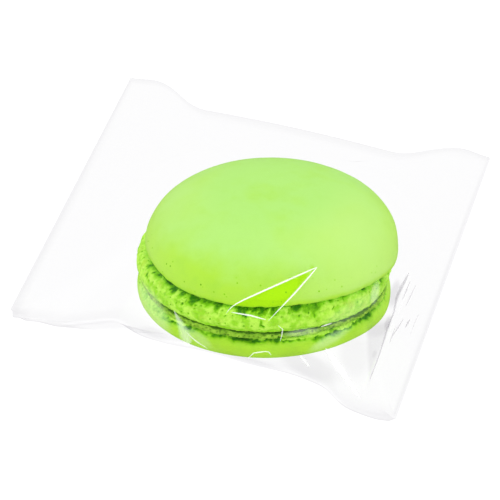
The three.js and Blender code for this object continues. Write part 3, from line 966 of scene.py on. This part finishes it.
# Painted shade and shadow: grey patches on the film, mostly beside and under the macaron.
SHADE_PATCHES = {
    "beside": ((26.9, -8.2), (1.0, 2.8), -15, 0.22),
    "below": ((25.7, -13.6), (0.6, 1.4), -20, 0.2),
    "behind_below": ((23.9, -14.9), (2.6, 1.3), 20, 0.09),
    "dot": ((23.2, -19.4), (0.4, 0.8), -20, 0.1),
    "under_right": ((11.0, -21.6), (6.5, 2.4), -25, 0.14),
    "under_left": ((-1.5, -20.6), (9.0, 1.0), -15, 0.14),
    "corner": ((19.5, -19.5), (3.2, 5.0), 0, 0.08),
    "left_end": ((-18.0, -15.6), (3.0, 1.2), -20, 0.08),
}
# Painted shade on one flat facet of the film.
SHADED_FACET = [(21.6, -13.6), (26.6, -12.2), (22.2, -24.6)]
FACET_SHADE = 0.17


def patches(film, table):
    """Sum of soft-edged ellipses in the view."""
    right, above = seen(film)
    total = np.zeros(right.shape)
    for (u, v), (wide, tall), turn, strength in table.values():
        c, s = np.cos(np.radians(turn)), np.sin(np.radians(turn))
        across = (c * (right - u) + s * (above - v)) / wide
        along = (c * (above - v) - s * (right - u)) / tall
        total = total + strength * (1 - ramp(0.5, 1.2, np.hypot(across, along)))
    return total


print("patches:", list(REFLECTION_PATCHES) + list(SHADE_PATCHES))

# %% Film under the macaron
REST_RADIUS = 14
BELLY_CURVE = 1.3
BELLY_ROWS = 24
BELLY_CROWD = 0.6  # below 1 the rows crowd together near the outline


def lower_strips(outline):
    """Film from the flat spot under the macaron out to the outline: straight seen from above,
    and rising with a power of the share of the way."""
    centre = np.array([MACARON[0], MACARON[1], 0.0])
    edge = outline - np.array([0, 0, EDGE_THICK / 2])
    away = (edge - centre) * np.array([1, 1, 0])
    start = centre + REST_RADIUS * away / np.linalg.norm(away, axis=1)[:, None]
    share = np.linspace(0, 1, BELLY_ROWS)[:, None] ** BELLY_CROWD
    points = blend(start[None], edge[None], share[..., None])
    points[..., 2] = edge[None, :, 2] * share**BELLY_CURVE
    return points, centre


lower_film, rest_centre = lower_strips(outline)
print("lower film:", lower_film.shape)

# %% The film as one closed piece
EDGE_FADE = (0.4, 1.6)  # millimetres inwards over which the darker seals and folds fade
NEAR_FADE = (0.5, 4.0)  # the same at the near fold, where the film turns under
NEAR_DARK = 0.85
# Grey of the film that hangs from the near fold, and more of it along the fold's left part, with
# the millimetres inwards over which it fades.
NEAR_GREY = (0.07, 1.5, 4.0)
NEAR_GREY_LEFT = (0.1, 4.0, 9.0)
LEFT_START = (0.02, 0.06)  # shares of the way along the fold
LEFT_END = (0.26, 0.34)


def grey_band(inwards, grey, low, high):
    """Grey as far in as the low distance, fading out at the high one."""
    return grey * (1 - ramp(low, high, inwards))


surface = ring_faces(np.concatenate([lower_film, upper_film]), rest_centre, film_top)
film_piece = piece_from("bag_film", [surface])
to_edge = np.linalg.norm(lower_film - lower_film[-1], axis=-1)
below = 0 * to_edge
along_fold = np.arange(len(outline)) / STEPS["near_fold"]
at_near_fold = along_fold < 1
near_band = NEAR_DARK * (1 - ramp(*NEAR_FADE, from_edge)) * at_near_fold
upper_band = np.maximum(1 - ramp(*EDGE_FADE, from_edge), near_band)
mark(film_piece, "edge", np.concatenate([1 - ramp(*EDGE_FADE, to_edge), upper_band]))
# Painted reflections on the film.
mark(film_piece, "white", np.concatenate([below, patches(upper_film, REFLECTION_PATCHES)]))
facet = FACET_SHADE * ramp(-0.08, 0.12, inside(upper_film, SHADED_FACET))
at_left = ramp(*LEFT_START, along_fold) * (1 - ramp(*LEFT_END, along_fold))
near_grey = np.maximum(grey_band(to_edge, *NEAR_GREY), at_left * grey_band(to_edge, *NEAR_GREY_LEFT))
mark(film_piece, "grey", np.concatenate([near_grey * at_near_fold, patches(upper_film, SHADE_PATCHES) + facet]))
wetted = ramp(-0.02, 0.04, inside(upper_film, WET_TRIANGLE))
under = np.maximum(wetted, 1 - ramp(0.0, 0.6, from_edge))
mark(film_piece, "under", np.concatenate([below + 1, under]), low_value=1.0)
print("film marked:", [attribute.name for attribute in film_piece.data.attributes][-4:])

# %% [markdown]
# ## Materials
#
# A node tree is written as calls: each makes one node and plugs in its inputs. Colours are
# linear values between 0 and 1, so a middle green looks darker in figures than on screen.

# %% Helpers for node trees
def new_material(name):
    """An empty material and its node tree."""
    material = bpy.data.materials.new(name)
    material.use_nodes = True
    material.node_tree.nodes.clear()
    return material, material.node_tree


def add(tree, kind, inputs=(), **settings):
    """One node. Inputs are pairs of a socket and a value or an output."""
    node = tree.nodes.new("ShaderNode" + kind)
    for name, value in settings.items():
        setattr(node, name, value)
    for socket, value in inputs:
        if isinstance(value, bpy.types.NodeSocket):
            tree.links.new(value, node.inputs[socket])
        else:
            node.inputs[socket].default_value = value
    return node


def maths(tree, operation, *values, clamp=False):
    """Output of one Math node, held between 0 and 1 on request."""
    node = add(tree, "Math", list(enumerate(values)), operation=operation, use_clamp=clamp)
    return node.outputs[0]


def colours(tree, share, first, second):
    """Output of a Mix node between two colours."""
    sockets = [("Factor", share), (6, first), (7, second)]
    return add(tree, "Mix", sockets, data_type="RGBA").outputs[2]


def numbers(tree, share, first, second):
    """Output of a Mix node between two numbers."""
    return add(tree, "Mix", [(0, share), (2, first), (3, second)]).outputs[0]


def shaders(tree, share, first, second):
    """Output of a mix of two shaders."""
    return add(tree, "MixShader", [(0, share), (1, first), (2, second)]).outputs[0]


def spread(tree, value, low, high, to_low=0.0, to_high=1.0):
    """Output of a Map Range node, clamped."""
    sockets = [(0, value), (1, low), (2, high), (3, to_low), (4, to_high)]
    return add(tree, "MapRange", sockets, clamp=True).outputs[0]


def attribute(tree, name):
    """Output of the number stored on the mesh under that name."""
    return add(tree, "Attribute", attribute_name=name).outputs["Fac"]


def place(tree):
    """Output of the place on the object, in metres."""
    return add(tree, "TexCoord").outputs["Object"]


def noise(tree, scale, detail):
    """Output of a Noise node at that many cells a metre."""
    inputs = [("Vector", place(tree)), ("Scale", scale), ("Detail", detail)]
    return add(tree, "TexNoise", inputs).outputs[0]


def finished(owner, shader, kind="OutputMaterial"):
    """The material or world, with that shader plugged into its output."""
    output = add(owner.node_tree, kind)
    owner.node_tree.links.new(shader, output.inputs[0])
    return owner


BUMP_DEPTH = 0.0002


def matt(material, base, roughness, mirror, grain, strength):
    """The material finished as an opaque surface with a fine grain."""
    tree = material.node_tree
    bump = add(tree, "Bump", [("Strength", strength), ("Distance", BUMP_DEPTH), ("Height", grain)])
    inputs = [("Base Color", base), ("Roughness", roughness), ("Specular IOR Level", mirror)]
    inputs.append(("Normal", bump.outputs[0]))
    return finished(material, add(tree, "BsdfPrincipled", inputs).outputs[0])


print("node helpers ready")

# %% Baked meringue
# The dome's colours. Its top is paler than its rim by painted sheen.
DOME_TOP = (0.44, 0.8, 0.175, 1)
DOME_RIM = (0.425, 0.77, 0.036, 1)
DOME_MOTTLE = (0.37, 0.73, 0.04, 1)
DOME_SIDE_SHEEN = (0.53, 0.83, 0.2, 1)
DOME_WET = (0.36, 0.73, 0.002, 1)
# The foot's colours. Light, lime and olive drift at random; lime is also the first step of the painted shade
# in holes, and the deep green is only painted shade.
FOOT_LIGHT = (0.53, 0.91, 0.095, 1)
FOOT_LIME = (0.28, 0.7, 0.006, 1)
FOOT_OLIVE = (0.42, 0.68, 0.04, 1)
FOOT_SHADE = (0.045, 0.25, 0.0005, 1)
# Patterns: cells a metre and detail of the noise, its lowest and highest value, and what it
# becomes there.
PATTERNS = {
    "drift": (130, 8, 0.3, 0.7, -0.35, 0.35),
    "mottle": (420, 5, 0.48, 0.72, 0.0, 0.7),
    "lime": (650, 4, 0.45, 0.62, 0.0, 0.8),
    "olive": (450, 2, 0.58, 0.72, 0.0, 0.6),
    "speckle": (1500, 2, 0.3, 0.7, 0.75, 1.25),
    "pored": (260, 1, 0.38, 0.46, 0.0, 1.0),
    "cream": (900, 3, 0.4, 0.65, 0.0, 1.0),
}
# A pore is a tiny hole in the crust; its dark dot is painted shade.
PORE_CELLS = 700  # cells a metre, with at most one dark pore each
PORE_SIZE = 0.17  # radius of a pore as a share of a cell
PORE_DARK = 0.95
TOP_MOTTLE = 0.15  # share of the mottle that is left on the pale top


def pattern(tree, name):
    """Output of one of the patterns."""
    scale, detail, *sides = PATTERNS[name]
    return spread(tree, noise(tree, scale, detail), *sides)


def meringue():
    """Satin lime green, paler by painted sheen on top of the dome and on two of its sides, and stronger
    where it is wet. The foot drifts between pale, lime and olive, and painted shade takes its holes,
    creases, caves and crevice, and the dome's pores, through lime to deep green."""
    material, tree = new_material("baked_meringue")
    # Painted sheen: the dome's colour pales from its rim towards its top, with a random drift.
    paleness = maths(tree, "ADD", attribute(tree, "top"), pattern(tree, "drift"), clamp=True)
    dome = colours(tree, paleness, DOME_RIM, DOME_TOP)
    mottle = maths(tree, "MULTIPLY", pattern(tree, "mottle"), spread(tree, paleness, 0, 1, 1.0, TOP_MOTTLE))
    dome = colours(tree, mottle, dome, DOME_MOTTLE)
    # Painted sheen on two sides of the dome.
    dome = colours(tree, attribute(tree, "side_sheen"), dome, DOME_SIDE_SHEEN)
    dome = colours(tree, attribute(tree, "wet"), dome, DOME_WET)
    foot = colours(tree, pattern(tree, "lime"), FOOT_LIGHT, FOOT_LIME)
    foot = colours(tree, pattern(tree, "olive"), foot, FOOT_OLIVE)
    base = colours(tree, attribute(tree, "foot"), dome, foot)
    # Painted shade: holes, caves, creases, the crevice and the dome's pores go through lime to deep green.
    pit_shade = maths(tree, "MULTIPLY", attribute(tree, "pit_shade"), pattern(tree, "speckle"))
    cells = add(tree, "TexVoronoi", [("Vector", place(tree)), ("Scale", PORE_CELLS)])
    dots = spread(tree, cells.outputs["Distance"], PORE_SIZE / 2, PORE_SIZE, PORE_DARK, 0)
    some = maths(tree, "MULTIPLY", pattern(tree, "pored"), attribute(tree, "pore"))
    pit_shade = maths(tree, "MAXIMUM", pit_shade, maths(tree, "MULTIPLY", dots, some))
    base = colours(tree, spread(tree, pit_shade, 0.1, 0.55), base, FOOT_LIME)
    base = colours(tree, spread(tree, pit_shade, 0.4, 1.0), base, FOOT_SHADE)
    return matt(material, base, roughness=0.55, mirror=0.1, grain=noise(tree, 2600, 3), strength=0.25)


meringue_material = meringue()
upper_piece.data.materials.append(meringue_material)
lower_piece.data.materials.append(meringue_material)
print("meringue on", upper_piece.name, "and", lower_piece.name)

# %% Filling cream
CREAM = (0.24, 0.5, 0.02, 1)
CREAM_PALE = (0.4, 0.7, 0.05, 1)
CREAM_SHADE = (0.08, 0.22, 0.004, 1)


def cream():
    """Dull green, paler in patches, with painted shade in its holes and in the lines above and below it, and
    a soft grain.
    """
    material, tree = new_material("almond_cream")
    speckle = pattern(tree, "cream")
    base = colours(tree, speckle, CREAM, CREAM_PALE)
    base = colours(tree, attribute(tree, "pit_shade"), base, CREAM_SHADE)
    return matt(material, base, roughness=0.7, mirror=0.2, grain=speckle, strength=0.3)


filling_piece.data.materials.append(cream())
print("cream on", filling_piece.name)

# %% [markdown]
# ### Clear film
#
# One layer of film has two faces, so it mirrors twice what one face does, about 8 percent head
# on. Flat film would mirror nearly all at a glancing angle, but crumpled film is never seen edge
# on for long, so the share is held just above that. It follows Schlick's rule, from Facing, which
# is the same from both sides. A Fresnel node would treat a look from inside the bag as a look
# from inside thick plastic. The rest of the light passes straight on, a little greyer.

# %% Clear film
FACE_MIRROR = 0.04
MOST_MIRROR = 0.09
FILM_TINT = (0.974, 0.973, 0.976, 1)
EDGE_TINT = (0.927, 0.925, 0.932, 1)
# The next tint is for the painted shade and grey on the film and in dark folds.
SHADE_TINT = (0.2, 0.17, 0.22, 1)
HAZE_AND_REFLECTION_WHITE = (0.97, 0.97, 0.97, 1)
FOLD_HIGHLIGHT = (0.97, 0.98, 0.96, 1)
HAZE = 0.0005
GLOSS = 0.04  # roughness of the mirror
UNDER_MIRROR = 0.15  # the film underneath mirrors only the macaron's shaded side


def clear_film():
    """Transparent, with a sharp mirror by Schlick's rule for both faces. The edges pass a little
    less light. Grey patches of painted shade and shadow pass less still, and white patches of painted
    reflection add a layer of white diffuse light."""
    material, tree = new_material("clear_film")
    facing = add(tree, "LayerWeight", [("Blend", 0.5)]).outputs["Facing"]
    one_face = maths(tree, "MULTIPLY_ADD", maths(tree, "POWER", facing, 5.0), 1 - FACE_MIRROR, FACE_MIRROR)
    both = maths(tree, "DIVIDE", maths(tree, "MULTIPLY", one_face, 2.0), maths(tree, "ADD", one_face, 1.0))
    both = maths(tree, "MINIMUM", both, MOST_MIRROR)
    both = maths(tree, "MULTIPLY", both, spread(tree, attribute(tree, "under"), 0, 1, 1.0, UNDER_MIRROR))
    tint = colours(tree, attribute(tree, "edge"), FILM_TINT, EDGE_TINT)
    # Grey patches, the grey band and dark folds: painted shade.
    tint = colours(tree, attribute(tree, "grey"), tint, SHADE_TINT)
    through = add(tree, "BsdfTransparent", [("Color", tint)]).outputs[0]
    mirror = add(tree, "BsdfAnisotropic", [("Color", (1, 1, 1, 1)), ("Roughness", GLOSS)]).outputs[0]
    # A faint even haze, and the white of the painted reflections.
    white_layer = add(tree, "BsdfDiffuse", [("Color", HAZE_AND_REFLECTION_WHITE)]).outputs[0]
    haze_and_reflection = maths(tree, "MAXIMUM", attribute(tree, "white"), HAZE)
    return finished(material, shaders(tree, haze_and_reflection, shaders(tree, both, through, mirror), white_layer))


film_piece.data.materials.append(clear_film())
print("film on", film_piece.name)


# %% Film in the folds
def folded_film():
    """Clear at the strip's edges. In its middle it is a painted highlight of white diffuse light, or painted
    shade that holds light back.
    """
    material, tree = new_material("folded_film")
    tint = colours(tree, attribute(tree, "grey"), (1, 1, 1, 1), SHADE_TINT)
    through = add(tree, "BsdfTransparent", [("Color", tint)]).outputs[0]
    highlight = add(tree, "BsdfDiffuse", [("Color", FOLD_HIGHLIGHT)]).outputs[0]
    return finished(material, shaders(tree, attribute(tree, "white"), through, highlight))


folds_piece.data.materials.append(folded_film())
print("folded film on", folds_piece.name)

# %% [markdown]
# ## Ride and replace
#
# The model has no joint, so every piece rides on the one body. Each hides the solid it stands
# for.

# %% Hand the pieces to the frame
for piece, node, finish in [
    (upper_piece, "shell_top", "shell"),
    (filling_piece, "filling", "filling"),
    (lower_piece, "shell_bottom", "shell"),
    (film_piece, "bag", "film"),
]:
    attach(piece, "root")
    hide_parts(node)
    print(piece.name, "stands for", node)
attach(folds_piece, "root")

# %% [markdown]
# ## Table and light
#
# The setting is a light table: a plain white floor that glows, so shadows stay faint, in a room
# of soft white light. What gloss mirrors is kept dim, and dimmer on the near side, because bright
# reflections in clear film would wash out the dark creases under it.

# %% The light table
FLOOR_SIZE = 3.0
FLOOR_DROP = 0.00005
FLOOR_GLOW = 1.12
FLOOR_PLAIN = (0.01, 0.01, 0.01, 1)
FRONT = (-0.3, -0.95, 0.0)  # level direction of the table's near side
FRONT_FADE = (0.028, 0.042)  # metres that way over which the mirrored glow fades
MIRRORED = (0.15, 0.03)  # what gloss mirrors, on the far and the near side
WHITE = (1, 1, 1, 1)


def mirrored_glow(tree, position, direction, fade):
    """Strength of what gloss mirrors: it falls from far to near along a direction."""
    along = add(tree, "VectorMath", [(0, position), (1, direction)], operation="DOT_PRODUCT")
    return spread(tree, along.outputs["Value"], *fade, *MIRRORED)


def light_table():
    """Flat white square just under the object: mostly glow, with a little plain white surface.
    Gloss mirrors a dim glow beyond the object, and hardly any in front of it."""
    half = FLOOR_SIZE / 2
    corners = [(-half, -half), (half, -half), (half, half), (-half, half)]
    mesh = bpy.data.meshes.new("light_table")
    mesh.from_pydata([(x, y, -FLOOR_DROP) for x, y in corners], [], [(0, 1, 2, 3)])
    floor = bpy.data.objects.new("light_table", mesh)
    bpy.context.scene.collection.objects.link(floor)
    material, tree = new_material("white_acrylic")
    glossy = add(tree, "LightPath").outputs["Is Glossy Ray"]
    strength = numbers(tree, glossy, FLOOR_GLOW, mirrored_glow(tree, place(tree), FRONT, FRONT_FADE))
    glow = add(tree, "Emission", [("Color", WHITE), ("Strength", strength)]).outputs[0]
    plain = add(tree, "BsdfDiffuse", [("Color", FLOOR_PLAIN)]).outputs[0]
    mesh.materials.append(finished(material, add(tree, "AddShader", [(0, glow), (1, plain)]).outputs[0]))
    return floor


light_table()
print("floor:", FLOOR_SIZE, "m square")

# %% The room's light
ROOM_LIGHT = 1.38
ROOM_SEEN = 1.12
ROOM_FADE = (0.3, 0.75)  # cosines to the line of sight over which the mirrored light fades


def studio_room():
    """Even white light from all round. What gloss mirrors of the room is dim on the far side and
    fades to near black on the camera's side. The camera sees plain white beyond the floor."""
    world = bpy.data.worlds.new("studio")
    bpy.context.scene.world = world
    world.use_nodes = True
    tree = world.node_tree
    tree.nodes.clear()
    direction = add(tree, "TexCoord").outputs["Generated"]
    path = add(tree, "LightPath").outputs
    mirrored = mirrored_glow(tree, direction, tuple(AWAY), ROOM_FADE)
    strength = numbers(tree, path["Is Glossy Ray"], ROOM_LIGHT, mirrored)
    strength = numbers(tree, path["Is Camera Ray"], strength, ROOM_SEEN)
    light = add(tree, "Background", [("Color", WHITE), ("Strength", strength)]).outputs[0]
    return finished(world, light, "OutputWorld")


studio_room()
bpy.context.scene.view_settings.view_transform = "Standard"
print("room light:", ROOM_LIGHT, "mirrored:", MIRRORED)
